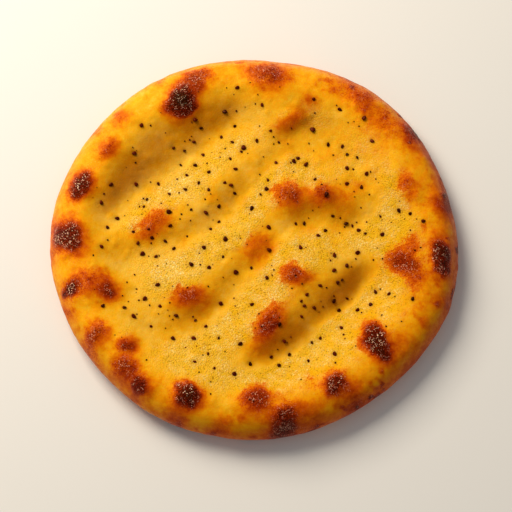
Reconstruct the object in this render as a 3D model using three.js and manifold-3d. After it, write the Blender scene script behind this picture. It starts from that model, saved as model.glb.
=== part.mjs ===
// A round naan bread: finger-pressed grooves, a puffed rim and nigella seeds baked into the top.
// Millimetres, +Z up. The bread lies on z = 0 with the middle of its outline at the origin.
import * as THREE from 'three';
import { mergeVertices } from 'three/addons/utils/BufferGeometryUtils.js';
import Module from 'manifold-3d';

const wasm = await Module();
wasm.setup();

// Outline: a circle with a few long waves, as hand-stretched dough has.
const meanRadius = 108.1;
const outlineWaves = [ // [lobes round the edge, height, phase in degrees]
  [1, 1.0, 79],
  [2, 1.5, 1],
  [3, 0.3, 52],
  [4, 0.4, -73],
  [5, 0.65, -114],
  [6, 0.45, -54],
];

// Cross-section. Shares are of the outline's radius, from 0 in the middle to 1 at the edge.
const crumbHeight = 14.5; // flat middle of the top, before the grooves are pressed
const rim = { rise: 5.5, peakShare: 0.85, innerWidth: 0.15, outerWidth: 0.2, roundness: 2.2 };
const edge = { shoulderShare: 0.85, widestHeight: 8.0, baseShare: 0.88 };

// Grooves: the line along the bottom of each, as [x, y, depth] from its left end to its right end.
const grooves = [
  [[-88, 7, 0], [-69, 22, 2.8], [-47, 36, 3.7], [-25, 54, 3.9], [-10, 68, 2.4], [-3, 79, 0]],
  [[-73, -13, 0], [-46, -5, 2.5], [-22, 8, 3.6], [-4, 25, 4], [10, 42, 3], [21, 52, 1], [29, 59, 0]],
  [[-62, -61, 0], [-34, -50, 3], [-17, -37, 3.6], [-6, -23, 3.6], [5, -8, 3.6], [20, 6, 3.4], [38, 9, 4],
    [55, 8, 4.8], [68, 18, 0]],
  [[-12, -73, 0], [9, -68, 4], [27, -57, 5.4], [37, -45, 5.4], [50, -35, 7.2], [60, -24, 6.6],
    [65, -13, 2.8], [67, -3, 0]],
];
const groove = { steepWall: 12, gentleWall: 15, roundness: 2, samples: 60 };
const grooveFade = { startShare: 0.76, endShare: 0.95 };

// Blisters, the bubbles that rose and browned in the oven, each as
// [x, y, radius, second radius, turn in degrees, rise].
const blisters = [
  [-39, 79, 8, 9, 0, 3], [-30, 91, 9, 7, 20, 1], [-79, 49, 7, 8, 0, 1.4], [-73, 68, 6, 5, 0, 0.8],
  [-93, 29, 8, 7, 20, 1.5], [-98, 1, 11, 12, 10, 2], [-84, -26, 14, 10, -10, 2], [-81, -53, 7, 7, 0, 1.3],
  [-66, -57, 5, 5, 0, 1.2], [-66, -70, 7, 8, 10, 1.6], [-58, -79, 6, 6, -10, 1.3], [-34, -85, 8, 7, 0, 2.2],
  [1, -86, 9, 9, 0, 2], [15, -95, 9, 8, 30, 1.5], [41, -80, 8, 8, 0, 2], [64, -55, 7.5, 12, 25, 2.6],
  [80, -12, 9, 12, 30, 2], [99, -10, 6, 11, 0, 1.6], [82, 28, 6, 8, 0, 1.2], [101, 18, 6, 9, 0, 1],
  [60, 78, 7, 9, 20, 1.2], [7, 93, 13, 9, -10, 1.8], [20, 68, 8, 5, 30, 1.6], [19, 26, 10, 10, 0, 2.4],
  [38, 26, 7, 8, 0, 1.5], [-53, 12, 9, 9, 20, 1.4], [-60, 4, 8, 7, 0, 1], [1, -3, 10, 9, 30, 1.4],
  [-34, -31, 12, 8, -10, 1.6], [21.5, -19.5, 9, 7, -10, 2.2], [9, -46, 8, 15, -33, 2.4],
];
// Two broad swells of the dough beside the rim, in the same form.
const swells = [[14, 74, 22, 16, -8, 3.2], [-74, -1, 12, 11, 0, 1]];
const bumpTightness = 1.1;

// The larger nigella seeds, at [x, y]. Each is about 2.4 x 1.7 x 1.4 mm and sits in a socket in the crust.
const seedPlaces = [
  [-61, 64], [-65, 48.5], [-32, 68.5], [-32, 44], [-10, 41], [-45.5, 16], [-45, 8.5], [7, 30], [32, 63],
  [60, 68], [64.5, 55], [22, 45.5], [28.5, 43.5], [50.5, 32], [69, 4], [8, 8], [-59.5, -7], [-9.5, -17],
  [-57.5, -32.5], [-17.5, -34], [-63, -42.5], [-41, -41], [-31.5, -53], [-7, -56.5], [-10, -73], [8, -4.5],
  [25, -3.5], [43, -8], [55.5, -6], [32, -36.5], [42.5, -32], [13.5, -46.5], [16, -54.5], [42.5, -62.5],
  [-77, 30.5], [-64, 32.5], [-16, 73.5], [-9, 86], [-5.5, 53.5], [-37, 29.5], [-12.5, 32], [-82, 20.5],
  [-73.5, 12.5], [-26, 16.5], [-15, 1.5], [-1, 19], [47, 73], [40.5, 54.5], [61, 37.5], [39, 25.5],
  [50, 11], [78, 16], [90.5, 9], [-81, -4.5], [-33.5, -13], [-51, -24.5], [7, -20], [65, -27], [83.5, -33.5],
];
const seed = {
  length: 2.4, width: 1.7, thickness: 1.4, taper: 0.25, sizeSpread: 0.12, lift: 0.2, socketGap: 0.4,
};

// Mesh density.
const topRings = 24;
const topRingsEndShare = 0.9;
const shoulderSteps = 3;
const undersideSteps = 3;
const baseRings = [{ share: 0.75, count: 36 }, { share: 0.5, count: 12 }];

const { clamp, smoothstep, degToRad } = THREE.MathUtils;

function outlineRadius(angle) {
  let radius = meanRadius;
  for (const [lobes, height, phase] of outlineWaves) {
    radius += height * Math.cos(lobes * angle - degToRad(phase));
  }
  return radius;
}

// Points along a groove's bottom line, each with its depth in z and the direction the groove runs in.
function sampleGroove(stations) {
  const points = stations.map(([x, y, depth]) => new THREE.Vector3(x, y, depth));
  const curve = new THREE.CatmullRomCurve3(points, false, 'catmullrom', 0.5);
  const samples = [];
  for (let step = 0; step <= groove.samples; step += 1) {
    const share = step / groove.samples;
    const heading = curve.getTangent(share).setZ(0).normalize();
    samples.push({ point: curve.getPoint(share), heading });
  }
  return samples;
}

const grooveSamples = grooves.map(sampleGroove);

// How far one groove presses the top down at (x, y). The wall on the upper left side is the steep one.
function pressedBy(samples, x, y) {
  let deepest = 0;
  for (const { point, heading } of samples) {
    const dx = x - point.x;
    const dy = y - point.y;
    const across = dx * heading.y - dy * heading.x;
    const along = dx * heading.x + dy * heading.y;
    const wall = across > 0 ? groove.gentleWall : groove.steepWall;
    const distance = Math.hypot(across / wall, along / groove.steepWall);
    const press = Math.max(point.z, 0) * Math.exp(-(distance ** groove.roundness));
    deepest = Math.max(deepest, press);
  }
  return deepest;
}

function grooveDrop(x, y) {
  return grooveSamples.reduce((sum, samples) => sum + pressedBy(samples, x, y), 0);
}

function bumpRise(x, y) {
  let rise = 0;
  for (const [centreX, centreY, radius, secondRadius, turn, height] of [...blisters, ...swells]) {
    const offset = new THREE.Vector2(x - centreX, y - centreY);
    offset.rotateAround(new THREE.Vector2(), -degToRad(turn));
    const distance = Math.hypot(offset.x / radius, offset.y / secondRadius);
    rise += height * Math.exp(-bumpTightness * distance ** 2);
  }
  return rise;
}

// Height of the top surface. Past the shoulder it curves down to the widest line of the edge.
function topHeight(x, y) {
  const share = Math.hypot(x, y) / outlineRadius(Math.atan2(y, x));
  const rimWidth = share < rim.peakShare ? rim.innerWidth : rim.outerWidth;
  const fromPeak = Math.abs(share - rim.peakShare) / rimWidth;
  const rimRise = rim.rise * Math.exp(-(fromPeak ** rim.roundness));
  const fade = 1 - smoothstep(share, grooveFade.startShare, grooveFade.endShare);
  const full = crumbHeight + rimRise - grooveDrop(x, y) * fade + bumpRise(x, y);
  const overShoulder = clamp((share - edge.shoulderShare) / (1 - edge.shoulderShare), 0, 1);
  return edge.widestHeight + (full - edge.widestHeight) * Math.sqrt(1 - overShoulder ** 2);
}

// One closed ring of points at a share of the outline, with its height from a function of x and y.
function makeRing(share, count, heightAt) {
  const ring = [];
  for (let i = 0; i < count; i += 1) {
    const angle = 2 * Math.PI * i / count;
    const radius = share * outlineRadius(angle);
    const x = radius * Math.cos(angle);
    const y = radius * Math.sin(angle);
    ring.push(new THREE.Vector3(x, y, heightAt(x, y)));
  }
  return ring;
}

// All rings, from the middle of the top, over the rim, round the edge and back to the middle of the base.
function breadRings() {
  const rings = [];
  for (let i = 1; i <= topRings; i += 1) {
    rings.push(makeRing(topRingsEndShare * i / topRings, 6 * i, topHeight));
  }
  const count = 6 * topRings;
  const shoulderWidth = 1 - edge.shoulderShare;
  const startTurn = Math.asin((topRingsEndShare - edge.shoulderShare) / shoulderWidth);
  for (let i = 1; i <= shoulderSteps; i += 1) {
    const turn = THREE.MathUtils.lerp(startTurn, Math.PI / 2, i / shoulderSteps);
    rings.push(makeRing(edge.shoulderShare + shoulderWidth * Math.sin(turn), count, topHeight));
  }
  for (let i = 1; i <= undersideSteps; i += 1) {
    const turn = Math.PI / 2 * i / undersideSteps;
    const height = i === undersideSteps ? 0 : edge.widestHeight * (1 - Math.sin(turn));
    const share = edge.baseShare + (1 - edge.baseShare) * Math.cos(turn);
    rings.push(makeRing(share, count, () => height));
  }
  for (const { share, count: baseCount } of baseRings) {
    rings.push(makeRing(share, baseCount, () => 0));
  }
  return rings;
}

// Triangles between two neighbouring rings, which may have different numbers of points.
function joinRings(triangles, first, firstStart, second, secondStart) {
  let i = 0;
  let j = 0;
  while (i < first.length || j < second.length) {
    const firstPoint = firstStart + i % first.length;
    const secondPoint = secondStart + j % second.length;
    const secondIsNext = (j + 1) / second.length <= (i + 1) / first.length;
    if (secondIsNext) {
      j += 1;
      triangles.push(firstPoint, secondPoint, secondStart + j % second.length);
    } else {
      i += 1;
      triangles.push(firstPoint, secondPoint, firstStart + i % first.length);
    }
  }
}

function breadBody() {
  const rings = breadRings();
  const points = [new THREE.Vector3(0, 0, topHeight(0, 0))];
  const triangles = [];
  let lastStart = 0;
  rings.forEach((ring, index) => {
    const start = points.length;
    points.push(...ring);
    if (index === 0) {
      ring.forEach((_, i) => triangles.push(0, start + i, start + (i + 1) % ring.length));
    } else {
      joinRings(triangles, rings[index - 1], lastStart, ring, start);
    }
    lastStart = start;
  });
  const baseMiddle = points.length;
  const lastRing = rings[rings.length - 1];
  points.push(new THREE.Vector3(0, 0, 0));
  lastRing.forEach((_, i) => {
    triangles.push(lastStart + i, baseMiddle, lastStart + (i + 1) % lastRing.length);
  });
  const geometry = new THREE.BufferGeometry().setFromPoints(points);
  geometry.setIndex(triangles);
  return geometry;
}

// A seed is a stubby faceted drop, thinner at its pointed end. `gap` grows it into its own socket.
function seedShape(size, gap) {
  const geometry = new THREE.IcosahedronGeometry(1, 0);
  const position = geometry.getAttribute('position');
  for (let i = 0; i < position.count; i += 1) {
    const thinning = 1 - seed.taper * position.getX(i);
    position.setY(i, position.getY(i) * thinning);
    position.setZ(i, position.getZ(i) * thinning);
  }
  const halfSizes = [seed.length, seed.width, seed.thickness].map((full) => size * full / 2 + gap);
  geometry.scale(...halfSizes);
  return geometry;
}

// A seed lies along the crust, turned its own way, with most of its thickness below the surface.
function placeOnCrust(object, x, y, yaw) {
  const step = 0.5;
  const slopeX = (topHeight(x + step, y) - topHeight(x - step, y)) / (2 * step);
  const slopeY = (topHeight(x, y + step) - topHeight(x, y - step)) / (2 * step);
  const normal = new THREE.Vector3(-slopeX, -slopeY, 1).normalize();
  object.quaternion.setFromUnitVectors(new THREE.Vector3(0, 0, 1), normal);
  object.rotateZ(yaw);
  object.position.set(x, y, topHeight(x, y)).addScaledVector(normal, seed.lift);
  object.updateMatrix();
}

function toSolid(geometry) {
  const bare = new THREE.BufferGeometry();
  bare.setAttribute('position', geometry.getAttribute('position'));
  bare.setIndex(geometry.getIndex());
  const merged = mergeVertices(bare);
  return new wasm.Manifold(new wasm.Mesh({
    numProp: 3,
    vertProperties: new Float32Array(merged.getAttribute('position').array),
    triVerts: new Uint32Array(merged.getIndex().array),
  }));
}

function toGeometry(solid) {
  const { vertProperties, triVerts } = solid.getMesh();
  const geometry = new THREE.BufferGeometry();
  geometry.setAttribute('position', new THREE.BufferAttribute(vertProperties, 3));
  geometry.setIndex(new THREE.BufferAttribute(triVerts, 1));
  geometry.computeVertexNormals();
  return geometry;
}

const crust = new THREE.MeshStandardMaterial({ color: '#dc952b', roughness: 0.5, metalness: 0 });
const seedCoat = new THREE.MeshStandardMaterial({ color: '#2a120d', roughness: 0.55, metalness: 0 });

const naan = new THREE.Group();
let breadSolid = toSolid(breadBody());

seedPlaces.forEach(([x, y], index) => {
  const size = 1 + seed.sizeSpread * Math.sin(5 * index);
  const yaw = 2.4 * index;
  const mesh = new THREE.Mesh(seedShape(size, 0), seedCoat);
  mesh.name = `nigella_seed_${String(index + 1).padStart(2, '0')}`;
  placeOnCrust(mesh, x, y, yaw);
  naan.add(mesh);
  const socket = seedShape(size, seed.socketGap).applyMatrix4(mesh.matrix);
  breadSolid = breadSolid.subtract(toSolid(socket));
});

const bread = new THREE.Mesh(toGeometry(breadSolid), crust);
bread.name = 'naan_bread';
naan.add(bread);

// The middle of the outline's box goes to the origin.
const middle = new THREE.Box3().setFromObject(bread).getCenter(new THREE.Vector3());
naan.position.set(-middle.x, -middle.y, 0);

export default naan;
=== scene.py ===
import math

import bmesh
import bpy
import numpy as np
from mathutils import Matrix, Vector
from mathutils.bvhtree import BVHTree


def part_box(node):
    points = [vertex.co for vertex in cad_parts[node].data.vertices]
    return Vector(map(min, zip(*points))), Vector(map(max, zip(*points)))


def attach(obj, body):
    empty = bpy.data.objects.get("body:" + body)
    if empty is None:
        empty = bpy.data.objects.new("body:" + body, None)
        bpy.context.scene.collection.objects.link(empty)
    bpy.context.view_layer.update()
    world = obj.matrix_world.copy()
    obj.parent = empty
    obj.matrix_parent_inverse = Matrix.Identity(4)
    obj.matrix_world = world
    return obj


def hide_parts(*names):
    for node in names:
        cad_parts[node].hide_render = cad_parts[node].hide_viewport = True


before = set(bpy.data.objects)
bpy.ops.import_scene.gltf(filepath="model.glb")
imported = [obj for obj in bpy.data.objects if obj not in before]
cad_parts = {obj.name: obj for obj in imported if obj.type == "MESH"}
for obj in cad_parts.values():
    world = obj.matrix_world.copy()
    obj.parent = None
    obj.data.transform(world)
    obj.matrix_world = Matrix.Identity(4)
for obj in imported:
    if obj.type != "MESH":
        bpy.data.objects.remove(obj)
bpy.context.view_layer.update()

mm = 0.001  # shapes are worked out in millimetres, and meshes are made in metres


# maths shared by the bread and the seeds

def smoothstep(low, high, value):
    share = np.clip((value - low) / (high - low), 0, 1)
    return share * share * (3 - 2 * share)


def softNoise(points, cell, seed):
    # a smooth random value from -1 to 1, new about every `cell` millimetres
    rng = np.random.default_rng(seed)
    order = rng.permutation(256)
    values = rng.uniform(-1, 1, 256)
    place = points / cell
    corner = np.floor(place).astype(int)
    fade = smoothstep(0, 1, place - corner)
    total = np.zeros(len(points))
    for dx in (0, 1):
        for dy in (0, 1):
            for dz in (0, 1):
                key = order[(corner[:, 0] + dx) % 256] + corner[:, 1] + dy
                key = order[key % 256] + corner[:, 2] + dz
                weight = np.abs(1 - dx - fade[:, 0]) * np.abs(1 - dy - fade[:, 1])
                total += values[order[key % 256]] * (weight * np.abs(1 - dz - fade[:, 2]))
    return total


def layeredNoise(points, cell, seed, layers=3):
    total = np.zeros(len(points))
    for layer in range(layers):
        total += softNoise(points, cell / 2 ** layer, seed + layer) / 2 ** layer
    return total / 1.6  # mostly from -1 to 1 again


def smoothCurve(stations, stepsEach):
    # points along a Catmull-Rom curve through the stations
    known = np.array(stations, float)
    known = np.vstack([2 * known[0] - known[1], known, 2 * known[-1] - known[-2]])
    points = []
    for i in range(1, len(known) - 2):
        a, b, c, d = known[i - 1:i + 3]
        for t in np.linspace(0, 1, stepsEach, endpoint=False):
            points.append(0.5 * (2 * b + (c - a) * t + (2 * a - 5 * b + 4 * c - d) * t ** 2
                                 + (3 * b - a - 3 * c + d) * t ** 3))
    points.append(known[-2])
    return np.array(points)


def makeObject(name, points, faces, material):
    mesh = bpy.data.meshes.new(name)
    mesh.from_pydata((points * mm).tolist(), [], faces)
    mesh.validate()
    mesh.shade_smooth()
    mesh.materials.append(material)
    made = bpy.data.objects.new(name, mesh)
    bpy.context.scene.collection.objects.link(made)
    return made


def storeValues(made, name, values):
    layer = made.data.attributes.new(name, "FLOAT", "POINT")
    layer.data.foreach_set("value", np.asarray(values, np.float32))


# the bread's broad shape

bread = {
    "meanRadius": 108.1,
    "outlineWaves": [  # lobes round the edge, height, phase in degrees
        (1, 1.0, 79), (2, 1.5, 1), (3, 0.3, 52), (4, 0.4, -73), (5, 0.65, -114), (6, 0.45, -54),
    ],
    "crumbHeight": 14.5,      # flat middle of the top before the grooves are pressed
    "rimRise": 5.5,
    "rimPeak": 0.85,          # shares are of the outline's radius
    "rimWidths": (0.15, 0.2),
    "shoulder": 0.85,
    "widestHeight": 8.0,
    "baseShare": 0.88,
    "grooveWalls": (12.0, 15.0),  # steep wall, gentle wall
    "grooveRoundness": 2.0,
    "rimRoundness": 2.2,
    "blisterTightness": 1.1,
    "grooveFade": (0.76, 0.95),
    "topRings": 140,
    "topShare": 0.93,
    "edgeSteps": 14,
    "baseRings": 46,
}

# bottom line of each pressed groove: x, y, depth
grooves = [
    [(-88, 7, 0), (-69, 22, 2.8), (-47, 36, 3.7), (-25, 54, 3.9), (-10, 68, 2.4), (-3, 79, 0)],
    [(-73, -13, 0), (-46, -5, 2.5), (-22, 8, 3.6), (-4, 25, 4), (10, 42, 3), (21, 52, 1), (29, 59, 0)],
    [(-62, -61, 0), (-34, -50, 3), (-17, -37, 3.6), (-6, -23, 3.6), (5, -8, 3.6), (20, 6, 3.4), (38, 9, 4),
     (55, 8, 4.8), (68, 18, 0)],
    [(-12, -73, 0), (9, -68, 4), (27, -57, 5.4), (37, -45, 5.4), (50, -35, 7.2), (60, -24, 6.6),
     (65, -13, 2.8), (67, -3, 0)],
]

# blisters: x, y, radius, second radius, turn in degrees, rise, how brown (0 to 1)
blisters = [
    (-39, 79, 8, 9, 0, 3, 0.86), (-30, 91, 9, 7, 20, 1, 0.58), (-79, 49, 7, 8, 0, 1.4, 0.48),
    (-73, 68, 6, 5, 0, 0.8, 0.35), (-93, 29, 8, 7, 20, 1.5, 0.88), (-98, 1, 11, 12, 10, 2, 0.86),
    (-84, -26, 14, 10, -10, 2, 0.46), (-81, -53, 7, 7, 0, 1.3, 0.58), (-66, -57, 5, 5, 0, 1.2, 0.5),
    (-66, -70, 7, 8, 10, 1.6, 0.58), (-58, -79, 6, 6, -10, 1.3, 0.66), (-34, -85, 8, 7, 0, 2.2, 1.0),
    (1, -86, 9, 9, 0, 2, 0.62), (15, -95, 9, 8, 30, 1.5, 0.6), (41, -80, 8, 8, 0, 2, 0.82),
    (64, -55, 7.5, 12, 25, 2.6, 0.94), (80, -12, 9, 12, 30, 2, 0.54), (99, -10, 6, 11, 0, 1.6, 0.98),
    (82, 28, 6, 8, 0, 1.2, 0.4), (101, 18, 6, 9, 0, 1, 0.42), (60, 78, 7, 9, 20, 1.2, 0.4),
    (7, 93, 13, 9, -10, 1.8, 0.54), (20, 68, 8, 5, 30, 1.6, 0.44), (19, 26, 10, 10, 0, 2.4, 0.58),
    (38, 26, 7, 8, 0, 1.5, 0.5), (-53, 12, 9, 9, 20, 1.4, 0.42), (-60, 4, 8, 7, 0, 1, 0.32),
    (1, -3, 10, 9, 30, 1.4, 0.36), (-34, -31, 12, 8, -10, 1.6, 0.54), (21.5, -19.5, 9, 7, -10, 2.2, 0.52),
    (9, -46, 8, 15, -33, 2.4, 0.58),
]

# broad swells of the dough beside the rim, in the same form
swells = [(14, 74, 22, 16, -8, 3.2), (-74, -1, 12, 11, 0, 1)]

# painted highlights: where the lit side of the crust is palest: x, y, radius, share
highlightSpots = [
    (-42, 34, 9, 0.6), (-45, -14, 10, 0.7), (60, 54, 10, 0.5), (3, 62, 9, 0.5), (12, -31, 8, 0.5),
    (-80, 62, 12, 0.3), (34, 70, 9, 0.5),
]

# the burnt-through core of the first blister: radius, how brown
burntCore = (6.2, 0.97)

# flat scorch marks without a rise, and a few marks of painted shade on shadowed slopes, such as the one at
# (-44, 73) beside the burnt blister: x, y, radius, how brown
scorchAndShadeMarks = [
    (-96, -29, 5, 0.8), (-76, -30, 6, 0.5), (72, 68, 9, 0.3), (-44, 73, 6, 0.4), (84, 58, 9, 0.4),
    (52, 88, 10, 0.34), (28, -95, 10, 0.3), (85, -22, 6, 0.28), (98, -34, 5, 0.3), (90, -47, 4, 0.3),
    (28, -74, 4, 0.25), (29, -79, 4, 0.2), (68, -64, 5, 0.5), (-16, -99, 7, 0.35), (-40, -97, 7, 0.35),
    (-97, -40, 5, 0.3), (-52, 90, 4, 0.3), (49, 22, 7, 0.25), (32, 77, 5, 0.3), (-63, -60, 4, 0.35),
    (-48, 76, 5, 0.3), (92, 70, 8, 0.3), (100, 30, 7, 0.2), (54, 31, 6, 0.2), (-24, 24, 6, 0.15),
    (-85, 62, 5, 0.2), (96, 48, 7, 0.25), (52, -84, 7, 0.4), (12, -102, 8, 0.45), (-86, -62, 8, 0.3),
    (84, 60, 7, 0.25), (84, -1, 6, 0.22), (80, -60, 8, 0.2), (74, -11, 5, 0.25),
]


def outlineRadius(angle):
    radius = np.full(np.shape(angle), bread["meanRadius"])
    for lobes, height, phase in bread["outlineWaves"]:
        radius = radius + height * np.cos(lobes * angle - math.radians(phase))
    return radius


def outlineShare(x, y):
    return np.hypot(x, y) / outlineRadius(np.arctan2(y, x))


def grooveDrop(x, y):
    steepWidth, gentleWidth = bread["grooveWalls"]
    drop = np.zeros(len(x))
    for stations in grooves:
        line = smoothCurve(stations, 30)
        heading = np.gradient(line[:, :2], axis=0)
        heading /= np.linalg.norm(heading, axis=1)[:, None]
        deepest = np.zeros(len(x))
        for (px, py, depth), (hx, hy) in zip(line, heading):
            dx, dy = x - px, y - py
            side = dx * hy - dy * hx
            along = dx * hx + dy * hy
            wall = np.where(side > 0, gentleWidth, steepWidth)
            distance = np.hypot(side / wall, along / steepWidth)
            deepest = np.maximum(deepest, max(depth, 0) * np.exp(-distance ** bread["grooveRoundness"]))
        drop += deepest
    return drop


def ovalDistance(x, y, spot):
    # 1 on the edge of the blister's oval
    centreX, centreY, radius, secondRadius, turn = spot[:5]
    cosTurn, sinTurn = math.cos(math.radians(turn)), math.sin(math.radians(turn))
    dx, dy = x - centreX, y - centreY
    return np.hypot((dx * cosTurn + dy * sinTurn) / radius, (dy * cosTurn - dx * sinTurn) / secondRadius)


def topHeight(x, y, drop):
    share = outlineShare(x, y)
    inner, outer = bread["rimWidths"]
    fromPeak = np.abs(share - bread["rimPeak"]) / np.where(share < bread["rimPeak"], inner, outer)
    height = bread["crumbHeight"] + bread["rimRise"] * np.exp(-fromPeak ** bread["rimRoundness"])
    height -= drop * (1 - smoothstep(*bread["grooveFade"], share))
    for spot in blisters + swells:
        height += spot[5] * np.exp(-bread["blisterTightness"] * ovalDistance(x, y, spot) ** 2)
    over = np.clip((share - bread["shoulder"]) / (1 - bread["shoulder"]), 0, 1)
    return bread["widestHeight"] + (height - bread["widestHeight"]) * np.sqrt(1 - over ** 2)


def ringOf(share, count):
    angle = np.arange(count) * 2 * math.pi / count
    radius = share * outlineRadius(angle)
    return np.column_stack([radius * np.cos(angle), radius * np.sin(angle)])


def breadRings():
    # rings from the middle of the top, over the rim, round the edge and in to the middle of the base
    rings = []
    for i in range(1, bread["topRings"] + 1):
        rings.append(("top", ringOf(bread["topShare"] * i / bread["topRings"], 6 * i), 0))
    count = 6 * bread["topRings"]
    shoulderWidth = 1 - bread["shoulder"]
    startTurn = math.asin((bread["topShare"] - bread["shoulder"]) / shoulderWidth)
    for turn in np.linspace(startTurn, math.pi / 2, bread["edgeSteps"] + 1)[1:]:
        rings.append(("top", ringOf(bread["shoulder"] + shoulderWidth * math.sin(turn), count), 0))
    for turn in np.linspace(0, math.pi / 2, bread["edgeSteps"] + 1)[1:]:
        share = bread["baseShare"] + (1 - bread["baseShare"]) * math.cos(turn)
        rings.append(("below", ringOf(share, count), bread["widestHeight"] * (1 - math.sin(turn))))
    for i in range(bread["baseRings"], 0, -1):
        rings.append(("below", ringOf(bread["baseShare"] * i / (bread["baseRings"] + 1), 8 * i), 0))
    return rings


def joinRings(faces, first, firstStart, second, secondStart):
    # triangles between neighbouring rings, which may have different numbers of points
    i = j = 0
    while i < first or j < second:
        a = firstStart + i % first
        b = secondStart + j % second
        if (j + 1) * first <= (i + 1) * second:
            j += 1
            faces.append((a, b, secondStart + j % second))
        else:
            i += 1
            faces.append((a, b, firstStart + i % first))


def breadMesh():
    rings = breadRings()
    flat = np.vstack([[[0, 0]]] + [ring for _, ring, _ in rings] + [[[0, 0]]])
    height = topHeight(flat[:, 0], flat[:, 1], grooveDrop(flat[:, 0], flat[:, 1]))
    faces = []
    start = 1
    lastStart, lastCount = 0, 0
    for kind, ring, level in rings:
        count = len(ring)
        if kind == "below":
            height[start:start + count] = level
        if lastCount:
            joinRings(faces, lastCount, lastStart, count, start)
        else:
            faces += [(0, start + i, start + (i + 1) % count) for i in range(count)]
        lastStart, lastCount = start, count
        start += count
    height[start] = 0
    faces += [(lastStart + i, start, lastStart + (i + 1) % lastCount) for i in range(lastCount)]
    return np.column_stack([flat, height]), faces


def pointNormals(points, faces):
    corners = np.array(faces)
    a, b, c = points[corners[:, 0]], points[corners[:, 1]], points[corners[:, 2]]
    faceNormals = np.cross(b - a, c - a)
    normals = np.zeros_like(points)
    for column in range(3):
        for axis in range(3):
            normals[:, axis] += np.bincount(corners[:, column], faceNormals[:, axis], len(points))
    return normals / np.linalg.norm(normals, axis=1)[:, None]


# where the seeds lie

seeds = {
    "length": (2.4, 3.1),        # the whole seeds
    "smallLength": (1.7, 2.5),
    "speckLength": (0.55, 1.25),
    "speckCount": 200,
    "wholeFrom": 1.2,            # shorter ones are specks
    "reach": (105, 0.86),        # radius strewn over, and the share of it that is used
    "apart": 1.8,
    "sunk": 0.34,                # share of the thickness below the crust
    "dent": (0.2, 1.3),          # depth, radius
    "stainRadius": (0.45, 0.6),  # plain part, and part that grows with the length
    "stainStrength": (0.25, 0.3),
    "lumps": (0.09, 0.32),       # height and size, as shares of the length
    "tilt": 0.35,
    "roll": 2.1,
}

# smaller whole seeds between the large ones, x and y
smallSeedPlaces = [
    (-10.5, 66), (-40, 44), (-24.5, 39.5), (-24.5, 29), (-59.5, 19.5), (-78.5, 6.5), (-64.5, 4.5),
    (-56.5, 6), (-54.5, 1.5), (-47.5, 0), (-34, 17.5), (-19, 20), (-19, 11.5), (-23.5, 7.5), (3.5, 27),
    (7.5, 35), (4.5, 76), (32.5, 78.5), (48, 53), (50.5, 48.5), (56, 46.5), (12, 45), (50.5, 40.5),
    (58, 30), (33, 34.5), (42.5, 14.5), (53, 9.5), (56.5, 7), (60, 5), (68, 14), (83.5, 13.5), (22.5, 10),
    (27, 10.5), (34.5, 3.5), (38.5, 6.5), (-52.5, -8.5), (-62, -1.5), (-43, -4), (-27, -3.5), (-16.5, -9),
    (-24, -15), (-1.5, -14.5), (-49.5, -36.5), (-1, -35), (-79, -37.5), (-68, -38), (-31, -43.5),
    (-25.5, -46.5), (-54, -47.5), (-42.5, -53.5), (-18.5, -53), (-24, -62), (-31, -66.5), (-20.5, -70),
    (-2, -67), (-33, 57), (-18, 60), (-28, 50), (-38, 52), (-29, 64.5), (-44, 53), (-13, 47), (-7, 51),
    (-12, 57), (-30, 33), (-36.5, 38), (-52, 33), (-46, 27), (-58, 24), (-16, 33), (-10.5, 27.5),
    (1.5, 57), (9, 62), (13.5, 56), (24, 47), (49.5, -13.5), (42.5, -16.5), (44.5, -23), (46.8, -21.5),
    (35, -25), (28, -30), (25, -33.5), (26.5, -36), (49.5, -30.5), (45, -37), (55, -37), (62, -34.5),
    (71.5, -29.5), (25, -41.5), (46, -47), (35, -52.5), (30.5, -55), (9, -63), (18.5, -61.5),
    (28.5, -65.5), (13, -67.5),
]


def seedSpots():
    # x, y, length of every seed: the CAD seeds first, then the smaller ones, then specks of broken seed
    rng = np.random.default_rng(11)
    spots = []
    for name in sorted(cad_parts):
        if name.startswith("nigella_seed"):
            low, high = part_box(name)
            middle = (low + high) / 2 / mm
            spots.append((middle.x, middle.y, rng.uniform(*seeds["length"])))
    for x, y in smallSeedPlaces:
        spots.append((x, y, rng.uniform(*seeds["smallLength"])))
    wanted = len(spots) + seeds["speckCount"]
    reach, used = seeds["reach"]
    while len(spots) < wanted:
        angle = rng.uniform(0, 2 * math.pi)
        share = used * math.sqrt(rng.uniform(0, 1))
        x = reach * share * math.cos(angle)
        y = reach * share * math.sin(angle)
        if min(math.hypot(x - other[0], y - other[1]) for other in spots) > seeds["apart"]:
            spots.append((x, y, rng.uniform(*seeds["speckLength"])))
    return np.array(spots)


# crust: relief and browning worked into the mesh

crust = {
    "lightHeading": 131,                # direction in degrees that the key light comes from, and that the slopes with the painted lit look face
    "swell": (0.55, 19.0),          # height and size of the dough's slow unevenness
    "ripple": (0.22, 5.0),
    "bubbles": 520,
    "bubbleReach": 106,
    "bubbleRadius": (1.5, 4.5),
    "bubbleRise": (0.08, 0.42),
    "pores": 700,
    "poreReach": 104,
    "poreRadius": (0.7, 1.1),
    "poreDepth": (0.08, 0.25),
    "charRoughness": (0.2, 2.0),
    "baseWave": (0.35, 14),         # height, size
    "edgeSink": 0.25,
    "insideRim": (0.72, 0.86),      # shares of the outline where the crumb gives way to the rim
    "litFrom": (-0.07, 0.15),       # how far a slope faces the light before it gets the painted lit look
    "lightFacingFrom": (-0.14, 0.08),
    "paintedShadeFrom": (0.04, 0.5),      # and how far it faces away before painted shade is laid on
    "shoulderPuff": (0.8, 0.935, 0.04),  # height, then place and width as shares of the outline
}


def addBumps(points, height, places, radii, rises):
    for (x, y), radius, rise in zip(places, radii, rises):
        dx = points[:, 0] - x
        dy = points[:, 1] - y
        near = np.flatnonzero((np.abs(dx) < 2.2 * radius) & (np.abs(dy) < 2.2 * radius))
        height[near] += rise * np.exp(-1.2 * (dx[near] ** 2 + dy[near] ** 2) / radius ** 2)


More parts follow.
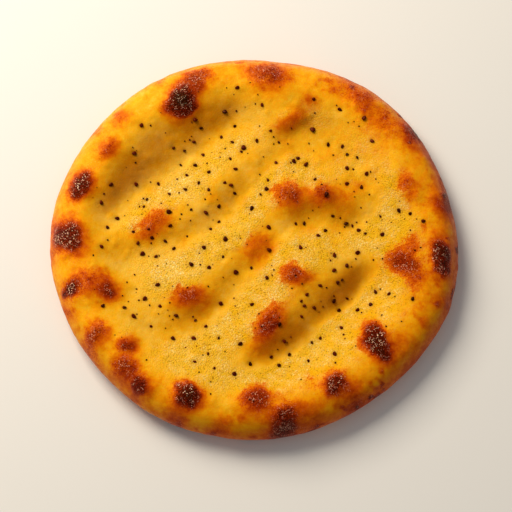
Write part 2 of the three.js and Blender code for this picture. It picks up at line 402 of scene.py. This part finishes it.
def randomPlaces(rng, count, reach):
    angle = rng.uniform(0, 2 * math.pi, count)
    radius = reach * np.sqrt(rng.uniform(0, 1, count))
    return np.column_stack([radius * np.cos(angle), radius * np.sin(angle)])


browns = {
    "middle": 0.12,
    "rim": 0.085,             # added on the rim all round
    "edge": (0.08, 0.18, -40),  # and on the outer edge: real browning all round, painted shade on the side away from the light, and that side's direction
    "hotSide": (0.065, 0),    # added towards the side that faced the heat, and its direction in degrees
    "patches": (0.28, 6.0),   # strength and size of the toasted patches on the rim
    "drift": (0.05, 26.0),
    "warp": (3.4, 10.0),      # how far and how finely the spots' outlines wander
    "ragged": (0.8, 3.4),
    "blister": (0.87, 1.3, 2.8),  # strength, tightness, roundness of a blister's brown
    "halo": (0.33, 0.8),          # strength and tightness of the toasting round it
    "mark": (1.3, 2.2),           # tightness, roundness of a scorch mark
    "underTurn": 0.6,             # radians, so that the base shows another part of the noise
    "under": (0.4, 0.12, 0.4),    # base: plain brown, its drift, and what the scorched patches add
    "blackest": 1.2,              # above 1, so that mottling leaves the burnt core black
}


def browning(points, below):
    # 0 pale, 0.3 golden, 0.6 brown, 1 charred
    warp, warpSize = browns["warp"]
    ragged, raggedSize = browns["ragged"]
    x = points[:, 0] + warp * layeredNoise(points, warpSize, 31)
    x = x + ragged * layeredNoise(points, raggedSize, 36)
    y = points[:, 1] + warp * layeredNoise(points, warpSize, 41)
    y = y + ragged * layeredNoise(points, raggedSize, 46)
    share = outlineShare(points[:, 0], points[:, 1])
    rim = smoothstep(0.7, 0.93, share)
    heat, heading = browns["hotSide"]
    towards = np.cos(np.arctan2(y, x) - math.radians(heading))
    patch, patchSize = browns["patches"]
    toasted = smoothstep(0.18, 0.62, layeredNoise(points, patchSize, 56, 4)) * (0.65 + 0.45 * towards)
    drift, driftSize = browns["drift"]
    base = browns["middle"] + heat * towards * share + rim * (browns["rim"] + patch * toasted)
    # painted shade: the outer edge is darker on the side away from the light
    edge, shadeSideExtra, shadeSideHeading = browns["edge"]
    shadeSideShare = 0.5 + 0.5 * np.cos(np.arctan2(y, x) - math.radians(shadeSideHeading))
    base += (edge + shadeSideExtra * shadeSideShare) * smoothstep(0.94, 0.995, share)
    base += drift * layeredNoise(points, driftSize, 51)
    pale = 1 - base
    strength, tightness, roundness = browns["blister"]
    halo, haloTightness = browns["halo"]
    for spot in blisters:
        distance = ovalDistance(x, y, spot)
        pale *= 1 - np.clip(strength * spot[6] * np.exp(-tightness * distance ** roundness), 0, 0.97)
        pale *= 1 - halo * spot[6] * np.exp(-haloTightness * distance ** 2)
    tightness, roundness = browns["mark"]
    for markX, markY, radius, brown in [(*blisters[0][:2], *burntCore)] + scorchAndShadeMarks:
        distance = np.hypot(x - markX, y - markY) / radius
        pale *= 1 - brown * np.exp(-tightness * distance ** roundness)
    top = 1 - pale
    cosTurn, sinTurn = math.cos(browns["underTurn"]), math.sin(browns["underTurn"])
    turned = points @ np.array([[cosTurn, sinTurn, 0], [-sinTurn, cosTurn, 0], [0, 0, 1]])
    spread = layeredNoise(turned, 23, 61) + 0.7 * layeredNoise(points + [5, 0, 9], 15, 66)
    scorched = smoothstep(0.1, 0.9, spread + 0.2 * layeredNoise(turned, 4, 71))
    plain, underDrift, scorch = browns["under"]
    under = plain + underDrift * layeredNoise(turned, 34, 81) + scorch * scorched
    charred = top + 3 * np.clip(top - 0.93, 0, 1)
    return np.clip(charred * (1 - below) + under * below, 0, browns["blackest"])


def slopeSides(points, normals):
    # the side of every swell that faces the key light, which gets a painted lit look, and the side facing
    # away, which gets painted amber shade
    heading = math.radians(crust["lightHeading"])
    towards = normals[:, 0] * math.cos(heading) + normals[:, 1] * math.sin(heading)
    towards += 0.08 * layeredNoise(points, 13, 101) + 0.05 * layeredNoise(points, 4, 111)
    inside = 1 - smoothstep(*crust["insideRim"], outlineShare(points[:, 0], points[:, 1]))
    litSlope = smoothstep(*crust["litFrom"], towards)
    # painted light: slopes facing the light get stronger fuzz and the painted glints
    lightFacing = smoothstep(*crust["lightFacingFrom"], towards)
    shadedSide = smoothstep(*crust["paintedShadeFrom"], -towards)
    # painted highlights at the listed highlight spots
    paintedHighlight = np.zeros(len(points))
    for x, y, radius, share in highlightSpots:
        paintedHighlight += share * np.exp(-((points[:, 0] - x) ** 2 + (points[:, 1] - y) ** 2) / radius ** 2)
    litSlope = np.maximum(litSlope, 0.75 * paintedHighlight)
    return litSlope, shadedSide, lightFacing, inside, np.clip(paintedHighlight, 0, 1)


def buildBread(spots, material):
    points, faces = breadMesh()
    normals = pointNormals(points, faces)
    below = smoothstep(-0.2, -0.85, normals[:, 2])
    above = smoothstep(0.0, 0.5, normals[:, 2])
    bake = browning(points, below)

    rng = np.random.default_rng(5)
    swell, swellSize = crust["swell"]
    ripple, rippleSize = crust["ripple"]
    char, charSize = crust["charRoughness"]
    relief = swell * layeredNoise(points, swellSize, 1) + ripple * layeredNoise(points, rippleSize, 9)
    places = randomPlaces(rng, crust["bubbles"], crust["bubbleReach"])
    radii = rng.uniform(*crust["bubbleRadius"], crust["bubbles"])
    bumps = np.zeros(len(points))
    addBumps(points, bumps, places, radii, rng.uniform(*crust["bubbleRise"], crust["bubbles"]))
    places = randomPlaces(rng, crust["pores"], crust["poreReach"])
    radii = rng.uniform(*crust["poreRadius"], crust["pores"])
    addBumps(points, bumps, places, radii, -rng.uniform(*crust["poreDepth"], crust["pores"]))
    whole = spots[spots[:, 2] > seeds["wholeFrom"]]
    dent, dentRadius = seeds["dent"]
    addBumps(points, bumps, whole[:, :2], np.full(len(whole), dentRadius), np.full(len(whole), -dent))
    relief += bumps * above
    relief += char * smoothstep(0.45, 0.8, bake) * softNoise(points, charSize, 21) * above
    relief -= crust["edgeSink"] * (1 - above) * (1 - below)
    puff, puffShare, puffWidth = crust["shoulderPuff"]
    fromPuff = (outlineShare(points[:, 0], points[:, 1]) - puffShare) / puffWidth
    relief += puff * np.exp(-fromPuff ** 2) * smoothstep(-0.1, 0.2, normals[:, 2])
    wave, waveSize = crust["baseWave"]
    relief = relief * (1 - below) - wave * below * (0.5 + 0.5 * layeredNoise(points, waveSize, 91))
    points += normals * relief[:, None]
    points[:, 2] -= points[:, 2].min()

    litSlope, shadedSide, lightFacing, inside, paintedHighlight = slopeSides(points, normals)
    stain = np.zeros(len(points))
    radius, growth = seeds["stainRadius"]
    strength, deepening = seeds["stainStrength"]
    lengths = spots[:, 2]
    addBumps(points, stain, spots[:, :2], radius + growth * lengths, strength + deepening * lengths)

    cadBoxLow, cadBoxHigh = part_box("naan_bread")
    middle = (points.min(0) + points.max(0)) / 2
    points[:, 0] += (cadBoxLow.x + cadBoxHigh.x) / 2 / mm - middle[0]
    points[:, 1] += (cadBoxLow.y + cadBoxHigh.y) / 2 / mm - middle[1]
    made = makeObject("naan_bread_baked", points, faces, material)
    storeValues(made, "bake", bake)
    # painted shade on slopes facing away from the light; painted lit look and painted highlights on slopes
    # facing it
    storeValues(made, "paintedShade", shadedSide * above * (0.35 + 0.65 * inside))
    storeValues(made, "lightFacing", lightFacing * above)
    storeValues(made, "grain", litSlope * inside * above)
    storeValues(made, "paintedHighlight", paintedHighlight * above)
    storeValues(made, "stain", np.clip(stain, 0, 1) * above)
    return made


# seeds

def seedForm(detail):
    # a drop with three soft ridges, one unit long each way from its middle
    shape = bpy.data.meshes.new("seedForm")
    work = bmesh.new()
    bmesh.ops.create_icosphere(work, subdivisions=detail, radius=1)
    work.to_mesh(shape)
    work.free()
    points = np.array([v.co[:] for v in shape.vertices])
    faces = [tuple(p.vertices) for p in shape.polygons]
    bpy.data.meshes.remove(shape)
    around = np.arctan2(points[:, 2], points[:, 1])
    thin = (1 - 0.3 * points[:, 0]) * (1 + 0.11 * np.cos(3 * around))
    points[:, 1] *= 0.76 * thin
    points[:, 2] *= 0.64 * thin
    return points, faces


def buildSeeds(spots, crustMesh, material):
    crustPoints = [v.co[:] for v in crustMesh.vertices]
    tree = BVHTree.FromPolygons(crustPoints, [tuple(p.vertices) for p in crustMesh.polygons])
    rng = np.random.default_rng(23)
    lump, lumpSize = seeds["lumps"]
    fine = seedForm(3)
    coarse = seedForm(2)
    allPoints = []
    allFaces = []
    tint = []
    count = 0
    for x, y, length in spots:
        form, faces = fine if length > seeds["wholeFrom"] else coarse
        place, normal, _, _ = tree.ray_cast(Vector((x * mm, y * mm, 0.1)), Vector((0, 0, -1)))
        if place is None:
            continue
        half = length / 2
        stretch = np.array([1, rng.uniform(0.85, 1.2), rng.uniform(0.9, 1.15)])
        points = form * stretch * half
        lumps = softNoise(points + 40 * rng.uniform(-1, 1, 3), lumpSize * length, 77)
        points += points * lump * lumps[:, None]
        tilt = Matrix.Rotation(rng.uniform(-seeds["tilt"], seeds["tilt"]), 3, "Y")
        tilt = tilt @ Matrix.Rotation(rng.uniform(0, seeds["roll"]), 3, "X")
        spin = Matrix.Rotation(rng.uniform(0, 2 * math.pi), 3, "Z")
        lean = Vector((0, 0, 1)).rotation_difference(normal).to_matrix()
        turned = points @ np.array(lean @ spin @ tilt).T
        lift = half * 0.6 * (1 - 2 * seeds["sunk"])
        allPoints.append(turned + np.array(place) / mm + np.array(normal) * lift)
        allFaces += [tuple(count + i for i in face) for face in faces]
        tint += [rng.uniform(0, 1)] * len(points)
        count += len(points)
    made = makeObject("nigella_seeds", np.vstack(allPoints), allFaces, material)
    storeValues(made, "tint", tint)
    return made


# shader helpers

def colour(code):
    # a hex colour as the linear values that a shader takes
    parts = [int(code[i:i + 2], 16) / 255 for i in (0, 2, 4)]
    return tuple(p / 12.92 if p < 0.04045 else ((p + 0.055) / 1.055) ** 2.4 for p in parts) + (1,)


def addNode(tree, kind, x, y, **settings):
    made = tree.nodes.new(kind)
    made.location = (x, y)
    for name, value in settings.items():
        if hasattr(made, name):
            setattr(made, name, value)
        else:
            made.inputs[name].default_value = value
    return made


def socket(source):
    return source.outputs[0] if hasattr(source, "outputs") else source


def mathNode(tree, operation, first, second, x, y, clamp=False):
    made = tree.nodes.new("ShaderNodeMath")
    made.operation = operation
    made.use_clamp = clamp
    made.location = (x, y)
    for i, value in enumerate((first, second)):
        if isinstance(value, (int, float)):
            made.inputs[i].default_value = value
        else:
            tree.links.new(socket(value), made.inputs[i])
    return made.outputs[0]


def mixColour(tree, factor, first, second, x, y):
    made = tree.nodes.new("ShaderNodeMix")
    made.data_type = "RGBA"
    made.location = (x, y)
    for i, value in ((0, factor), (6, first), (7, second)):
        if isinstance(value, (int, float, tuple)):
            made.inputs[i].default_value = value
        else:
            tree.links.new(socket(value), made.inputs[i])
    return made.outputs[2]


def newGroup(name, inputs, outputs):
    tree = bpy.data.node_groups.new(name, "ShaderNodeTree")
    for label, kind, value in inputs:
        made = tree.interface.new_socket(name=label, in_out="INPUT", socket_type=kind)
        if value is not None:
            made.default_value = value
    for label, kind in outputs:
        tree.interface.new_socket(name=label, in_out="OUTPUT", socket_type=kind)
    return tree, tree.nodes.new("NodeGroupInput"), tree.nodes.new("NodeGroupOutput")


def placeGroup(tree, group, x, y, vector, **values):
    made = tree.nodes.new("ShaderNodeGroup")
    made.node_tree = group
    made.location = (x, y)
    tree.links.new(vector, made.inputs["Vector"])
    for name, value in values.items():
        made.inputs[name].default_value = value
    return made


def buildSpeckleGroup():
    # scattered fine specks: 1 on a speck, 0 between; Share is how much of the surface they cover
    tree, inputs, outputs = newGroup(
        "speckles",
        [("Vector", "NodeSocketVector", None), ("Scale", "NodeSocketFloat", 1200.0),
         ("Share", "NodeSocketFloat", 0.3), ("Softness", "NodeSocketFloat", 0.08)],
        [("Mask", "NodeSocketFloat")])
    noise = addNode(tree, "ShaderNodeTexNoise", 0, 0, Detail=2.0, Roughness=0.6)
    tree.links.new(inputs.outputs["Vector"], noise.inputs["Vector"])
    tree.links.new(inputs.outputs["Scale"], noise.inputs["Scale"])
    # noise lies mostly between 0.3 and 0.7
    edge = mathNode(tree, "MULTIPLY_ADD", inputs.outputs["Share"], -0.4, 0, -200)
    edge.node.inputs[2].default_value = 0.7
    top = mathNode(tree, "ADD", edge, inputs.outputs["Softness"], 180, -200)
    step = addNode(tree, "ShaderNodeMapRange", 360, 0, interpolation_type="SMOOTHSTEP")
    tree.links.new(noise.outputs["Fac"], step.inputs["Value"])
    tree.links.new(edge, step.inputs["From Min"])
    tree.links.new(top, step.inputs["From Max"])
    tree.links.new(step.outputs["Result"], outputs.inputs["Mask"])
    return tree


def buildPuckerGroup():
    # skin relief of dried or baked surfaces: tiny bubbles with noise between them, as a height
    tree, inputs, outputs = newGroup(
        "puckeredSkin",
        [("Vector", "NodeSocketVector", None), ("Bubble Scale", "NodeSocketFloat", 900.0),
         ("Grain Scale", "NodeSocketFloat", 1500.0), ("Bubble Amount", "NodeSocketFloat", 0.5)],
        [("Height", "NodeSocketFloat"), ("Bubble", "NodeSocketFloat")])
    cells = addNode(tree, "ShaderNodeTexVoronoi", 0, 150, feature="SMOOTH_F1", Smoothness=0.35)
    tree.links.new(inputs.outputs["Vector"], cells.inputs["Vector"])
    tree.links.new(inputs.outputs["Bubble Scale"], cells.inputs["Scale"])
    dome = mathNode(tree, "SUBTRACT", 1.0, cells.outputs["Distance"], 180, 150)
    grain = addNode(tree, "ShaderNodeTexNoise", 0, -150, Detail=3.0, Roughness=0.6)
    tree.links.new(inputs.outputs["Vector"], grain.inputs["Vector"])
    tree.links.new(inputs.outputs["Grain Scale"], grain.inputs["Scale"])
    blend = addNode(tree, "ShaderNodeMix", 380, 0, data_type="FLOAT")
    tree.links.new(inputs.outputs["Bubble Amount"], blend.inputs[0])
    tree.links.new(grain.outputs["Fac"], blend.inputs[2])
    tree.links.new(dome, blend.inputs[3])
    tree.links.new(blend.outputs[0], outputs.inputs["Height"])
    tree.links.new(dome, outputs.inputs["Bubble"])
    return tree


def newMaterial(name):
    material = bpy.data.materials.new(name)
    material.use_nodes = True
    material.node_tree.nodes.clear()
    tree = material.node_tree
    shader = addNode(tree, "ShaderNodeBsdfPrincipled", 1400, 0)
    output = addNode(tree, "ShaderNodeOutputMaterial", 1700, 0)
    tree.links.new(shader.outputs["BSDF"], output.inputs["Surface"])
    return material, tree, shader


# crust material

crustLook = {
    "bakeColours": [  # browning, colour
        (0.00, "f9c446"), (0.14, "f4b018"), (0.26, "ee9806"), (0.38, "de7202"), (0.49, "c85402"),
        (0.60, "aa3402"), (0.72, "861a02"), (0.86, "620a02"), (1.00, "140303"),
    ],
    # painted amber shade for slopes facing away from the light
    "paintedShade": "b05c00",
    # painted lit look for slopes facing the light, with its pale and olive grain flecks
    "litBase": "e6b110",
    "paleGrain": "fde99a",
    "oliveGrain": "8a6408",
    # painted glints on charred bubbles
    "seedStain": "7e2400",
    "glintColour": "ffd4b0",
    # painted shade in the gaps between charred bubbles
    "gapShade": "380400",
    "sheen": "ff9626",          # tint of the highlights
    "roughness": (0.34, 0.52),
    "specular": 0.22,
    "subsurface": 0.15,
    "subsurfaceRadius": (1.0, 0.35, 0.08),
    "subsurfaceScale": 0.002,
    "bump": (0.8, 0.0008),      # strength, depth in metres
}


def centred(tree, source, strength, x, y):
    # a 0 to 1 value as a shift either side of zero
    made = mathNode(tree, "MULTIPLY_ADD", source, strength, x, y)
    made.node.inputs[2].default_value = -strength / 2
    return made


def ramped(tree, source, low, high, x, y, lowResult=0.0, highResult=1.0):
    made = addNode(tree, "ShaderNodeMapRange", x, y, interpolation_type="SMOOTHSTEP")
    tree.links.new(socket(source), made.inputs["Value"])
    made.inputs["From Min"].default_value = low
    made.inputs["From Max"].default_value = high
    made.inputs["To Min"].default_value = lowResult
    made.inputs["To Max"].default_value = highResult
    return made.outputs["Result"]


def buildCrustMaterial(speckles, pucker):
    material, tree, shader = newMaterial("bakedCrust")
    place = addNode(tree, "ShaderNodeTexCoord", -1600, 0).outputs["Object"]
    masks = {}
    for row, name in enumerate(("bake", "paintedShade", "lightFacing", "grain", "paintedHighlight", "stain")):
        stored = addNode(tree, "ShaderNodeAttribute", -1600, -200 - 180 * row, attribute_name=name)
        masks[name] = stored.outputs["Fac"]

    patches = addNode(tree, "ShaderNodeTexNoise", -1300, 400, Scale=75.0, Detail=3.0, Roughness=0.55)
    mottle = addNode(tree, "ShaderNodeTexNoise", -1300, 150, Scale=330.0, Detail=3.0, Roughness=0.58)
    tree.links.new(place, patches.inputs["Vector"])
    tree.links.new(place, mottle.inputs["Vector"])
    fuzz = placeGroup(tree, speckles, -1300, -100, place, Scale=1100.0, Share=0.5, Softness=0.12)

    # browning is broken up by slow patches, and by mottling and fuzz where it is toasted
    toasted = ramped(tree, masks["bake"], 0.28, 0.5, -1050, -300, 0.35, 1.0)
    mottled = mathNode(tree, "MULTIPLY", centred(tree, mottle.outputs["Fac"], 0.36, -1050, 150),
                       ramped(tree, masks["bake"], 0.1, 0.4, -1050, -500, 0.65, 1.0), -800, 150)
    fuzzy = centred(tree, fuzz.outputs["Mask"], 0.12, -1050, -50)
    fuzzy = mathNode(tree, "MULTIPLY", fuzzy, toasted, -800, -50)
    # painted light: the fuzz is stronger on slopes facing the light
    litFuzz = ramped(tree, masks["lightFacing"], 0, 0.7, -1050, -700, 0.3, 1.0)
    fuzzy = mathNode(tree, "MULTIPLY", fuzzy, litFuzz, -640, -50)
    patchy = centred(tree, patches.outputs["Fac"], 0.34, -1050, 400)
    total = mathNode(tree, "ADD", masks["bake"], patchy, -800, 350)
    total = mathNode(tree, "ADD", total, mottled, -620, 250)
    total = mathNode(tree, "ADD", total, fuzzy, -440, 200, clamp=True)
    ramp = addNode(tree, "ShaderNodeValToRGB", -250, 250)
    stops = ramp.color_ramp.elements
    while len(stops) < len(crustLook["bakeColours"]):
        stops.new(0.5)
    for stop, (brown, code) in zip(stops, crustLook["bakeColours"]):
        stop.position = brown
        stop.color = colour(code)
    tree.links.new(total, ramp.inputs["Fac"])

    # painted amber shade on the slopes facing away from the light, such as the steep groove walls
    uncharred = ramped(tree, masks["bake"], 0.35, 0.62, -300, -50, 0.8, 0.0)
    paintedShadeShare = mathNode(tree, "MULTIPLY", masks["paintedShade"], uncharred, -100, -50)
    shade = mixColour(tree, paintedShadeShare, ramp.outputs["Color"], colour(crustLook["paintedShade"]), 100, 200)

    # painted lit look on the gentle walls, which face the light: a flat yellow grain with paler and darker
    # patches, pale flecks and a few olive ones
    drift = addNode(tree, "ShaderNodeTexNoise", -600, -300, Scale=150.0, Detail=3.0, Roughness=0.6)
    tree.links.new(place, drift.inputs["Vector"])
    pale = placeGroup(tree, speckles, -300, -250, place, Scale=1000.0, Share=0.5, Softness=0.16)
    olive = placeGroup(tree, speckles, -300, -450, place, Scale=1100.0, Share=0.32, Softness=0.08)
    plain = ramped(tree, total, 0.3, 0.42, -300, -650, 1.0, 0.0)
    grain = mathNode(tree, "MULTIPLY", masks["grain"], plain, -100, -350)
    unshaded = ramped(tree, masks["paintedShade"], 0.05, 0.6, -300, -1200, 1.0, 0.3)
    litShare = mathNode(tree, "MULTIPLY", grain, 0.62, -200, -150)
    litShare = mathNode(tree, "MULTIPLY", litShare, unshaded, -100, -150)
    shade = mixColour(tree, litShare, shade, colour(crustLook["litBase"]), 200, 180)
    # pale flecks are strongest at the painted highlight spots
    palePatch = mathNode(tree, "MULTIPLY_ADD", masks["paintedHighlight"], 0.65, -300, -1000)
    paleDrift = ramped(tree, drift.outputs["Fac"], 0.38, 0.66, -480, -850, 0.0, 0.62)
    tree.links.new(paleDrift, palePatch.node.inputs[2])
    paleShare = mathNode(tree, "MULTIPLY_ADD", pale.outputs["Mask"], 0.8, -100, -250)
    paleShare.node.inputs[2].default_value = 0.2
    paleShare = mathNode(tree, "MULTIPLY", paleShare, palePatch, 20, -250, clamp=True)
    paleShare = mathNode(tree, "MULTIPLY", paleShare, grain, 140, -250)
    paleShare = mathNode(tree, "MULTIPLY", paleShare, unshaded, 240, -250)
    oliveShare = mathNode(tree, "MULTIPLY", olive.outputs["Mask"], grain, -100, -450)
    speckled = ramped(tree, drift.outputs["Fac"], 0.38, 0.62, -100, -600, 0.75, 0.35)
    oliveShare = mathNode(tree, "MULTIPLY", oliveShare, speckled, 60, -450)
    shade = mixColour(tree, paleShare, shade, colour(crustLook["paleGrain"]), 340, 150)
    shade = mixColour(tree, oliveShare, shade, colour(crustLook["oliveGrain"]), 500, 120)
    stainShare = mathNode(tree, "MULTIPLY", masks["stain"], 0.35, 500, -150)
    shade = mixColour(tree, stainShare, shade, colour(crustLook["seedStain"]), 660, 100)

    # painted glints: light flecks on the tops of charred bubbles, most on the slopes facing the light
    charred = ramped(tree, masks["bake"], 0.5, 0.8, 300, -650)
    skin = placeGroup(tree, pucker, 100, -800, place,
                      **{"Bubble Scale": 1400.0, "Grain Scale": 1900.0, "Bubble Amount": 0.65})
    # painted shade: darker in the gaps between the charred bubbles
    gapShadeShare = ramped(tree, skin.outputs["Bubble"], 0.4, 0.65, 500, -1050, 0.8, 0.0)
    gapShadeShare = mathNode(tree, "MULTIPLY", gapShadeShare, charred, 700, -1050)
    shade = mixColour(tree, gapShadeShare, shade, colour(crustLook["gapShade"]), 820, 100)
    glintDot = ramped(tree, skin.outputs["Bubble"], 0.6, 0.7, 500, -850)
    glints = placeGroup(tree, speckles, 300, -1150, place, Scale=420.0, Share=0.58, Softness=0.12)
    glintDot = mathNode(tree, "MULTIPLY", glintDot, glints.outputs["Mask"], 600, -900)
    burnt = ramped(tree, masks["bake"], 0.46, 0.86, 300, -1350, 0.05, 1.0)
    glintShare = mathNode(tree, "MULTIPLY", glintDot, burnt, 700, -750)
    lit = ramped(tree, masks["lightFacing"], 0, 1, 600, -1250, 0.45, 1.0)
    glintShare = mathNode(tree, "MULTIPLY", glintShare, lit, 780, -750)
    shade = mixColour(tree, glintShare, shade, colour(crustLook["glintColour"]), 1000, 100)
    tree.links.new(shade, shader.inputs["Base Color"])

    smooth, rough = crustLook["roughness"]
    wear = mathNode(tree, "MULTIPLY_ADD", masks["grain"], 0.2, 1080, -250)
    gloss = ramped(tree, mottle.outputs["Fac"], 0.3, 0.7, 900, -200, smooth, rough)
    tree.links.new(gloss, wear.node.inputs[2])
    tree.links.new(wear, shader.inputs["Roughness"])

    # fine relief in the shader: puckered where the crust is charred, grainy on the slopes with the painted
    # lit look
    grainDepth = mathNode(tree, "MULTIPLY_ADD", masks["grain"], 0.8, 700, -450)
    grainDepth.node.inputs[2].default_value = 0.2
    depth = mathNode(tree, "MULTIPLY_ADD", charred, 0.9, 860, -500)
    tree.links.new(grainDepth, depth.node.inputs[2])
    height = mathNode(tree, "MULTIPLY", skin.outputs["Height"], depth, 1020, -600)
    strength, distance = crustLook["bump"]
    bump = addNode(tree, "ShaderNodeBump", 1200, -600, Strength=strength, Distance=distance)
    tree.links.new(height, bump.inputs["Height"])
    tree.links.new(bump.outputs["Normal"], shader.inputs["Normal"])

    shader.inputs["Subsurface Weight"].default_value = crustLook["subsurface"]
    shader.inputs["Subsurface Radius"].default_value = crustLook["subsurfaceRadius"]
    shader.inputs["Subsurface Scale"].default_value = crustLook["subsurfaceScale"]
    shader.inputs["Specular IOR Level"].default_value = crustLook["specular"]
    shader.inputs["Specular Tint"].default_value = colour(crustLook["sheen"])
    return material


# seed material

seedLook = {
    "dark": "240301",
    "brown": "6a1806",
    "sheen": "ff9a60",
    "roughness": 0.42,
    "specular": 0.25,
    "bump": (0.5, 0.00012),
}


def buildSeedMaterial(speckles, pucker):
    material, tree, shader = newMaterial("nigellaCoat")
    place = addNode(tree, "ShaderNodeTexCoord", -900, 0).outputs["Object"]
    tint = addNode(tree, "ShaderNodeAttribute", -900, -250, attribute_name="tint").outputs["Fac"]
    worn = placeGroup(tree, speckles, -600, 0, place, Scale=3200.0, Share=0.35, Softness=0.1)
    share = mathNode(tree, "MULTIPLY_ADD", worn.outputs["Mask"], 0.4, -400, 0)
    lighter = mathNode(tree, "MULTIPLY", tint, 0.6, -600, -250)
    tree.links.new(lighter, share.node.inputs[2])
    shade = mixColour(tree, share, colour(seedLook["dark"]), colour(seedLook["brown"]), -200, 0)
    tree.links.new(shade, shader.inputs["Base Color"])
    skin = placeGroup(tree, pucker, -600, -450, place,
                      **{"Bubble Scale": 3600.0, "Grain Scale": 5200.0, "Bubble Amount": 0.6})
    strength, distance = seedLook["bump"]
    bump = addNode(tree, "ShaderNodeBump", 900, -450, Strength=strength, Distance=distance)
    tree.links.new(skin.outputs["Height"], bump.inputs["Height"])
    tree.links.new(bump.outputs["Normal"], shader.inputs["Normal"])
    shader.inputs["Roughness"].default_value = seedLook["roughness"]
    shader.inputs["Specular IOR Level"].default_value = seedLook["specular"]
    shader.inputs["Specular Tint"].default_value = colour(seedLook["sheen"])
    return material


# stage

stage = {
    "floor": "eceae6",
    "floorSize": 3.0,
    "floorRoughness": 0.8,
    "keyPower": 14.7,
    "keySize": 0.6,
    "keyDistance": 1.1,
    "keyHeading": (-0.66, 0.75),
    "keyElevation": 43,
    "keyColour": "fff3e0",
    "fillStrength": 0.27,
    "cameraElevation": 73.5,
    "cameraLens": 100.0,
    "cameraSensor": 36,
    "cameraDistance": 0.76314,
    "cameraAim": (0.00105, -0.0073, 0.009),
}


def buildStage():
    half = stage["floorSize"] / 2
    material, _, shader = newMaterial("studioFloor")
    shader.inputs["Base Color"].default_value = colour(stage["floor"])
    shader.inputs["Roughness"].default_value = stage["floorRoughness"]
    corners = np.array([(-half, -half, 0), (half, -half, 0), (half, half, 0), (-half, half, 0)]) / mm
    floor = makeObject("floor", corners, [(0, 1, 2, 3)], material)

    key = bpy.data.lights.new("keyLight", "AREA")
    key.energy = stage["keyPower"]
    key.size = stage["keySize"]
    key.color = colour(stage["keyColour"])[:3]
    lamp = bpy.data.objects.new("keyLight", key)
    elevation = math.radians(stage["keyElevation"])
    towards = Vector((*stage["keyHeading"], 0)).normalized() * math.cos(elevation)
    towards.z = math.sin(elevation)
    lamp.location = towards * stage["keyDistance"]
    lamp.rotation_euler = towards.to_track_quat("Z", "Y").to_euler()
    bpy.context.scene.collection.objects.link(lamp)

    world = bpy.data.worlds.new("softFill")
    world.use_nodes = True
    background = world.node_tree.nodes["Background"]
    background.inputs["Color"].default_value = (1, 1, 1, 1)
    background.inputs["Strength"].default_value = stage["fillStrength"]
    bpy.context.scene.world = world
    bpy.context.scene.view_settings.view_transform = "Standard"


def buildCamera():
    camera = bpy.data.cameras.new("camera")
    camera.lens = stage["cameraLens"]
    camera.sensor_width = stage["cameraSensor"]
    camera.clip_start = 0.01
    made = bpy.data.objects.new("camera", camera)
    elevation = math.radians(stage["cameraElevation"])
    back = Vector((0, -math.cos(elevation), math.sin(elevation)))
    made.location = Vector(stage["cameraAim"]) + back * stage["cameraDistance"]
    made.rotation_euler = back.to_track_quat("Z", "Y").to_euler()
    bpy.context.scene.collection.objects.link(made)
    bpy.context.scene.camera = made


buildCamera()
buildStage()
print("stage ready")

speckles = buildSpeckleGroup()
pucker = buildPuckerGroup()
spots = seedSpots()
baked = buildBread(spots, buildCrustMaterial(speckles, pucker))
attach(baked, "root")
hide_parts("naan_bread")
print("bread:", len(baked.data.polygons), "faces")

strewn = buildSeeds(spots, baked.data, buildSeedMaterial(speckles, pucker))
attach(strewn, "root")
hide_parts(*[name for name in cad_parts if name.startswith("nigella_seed")])
print("seeds:", len(spots), "with", len(strewn.data.polygons), "faces")
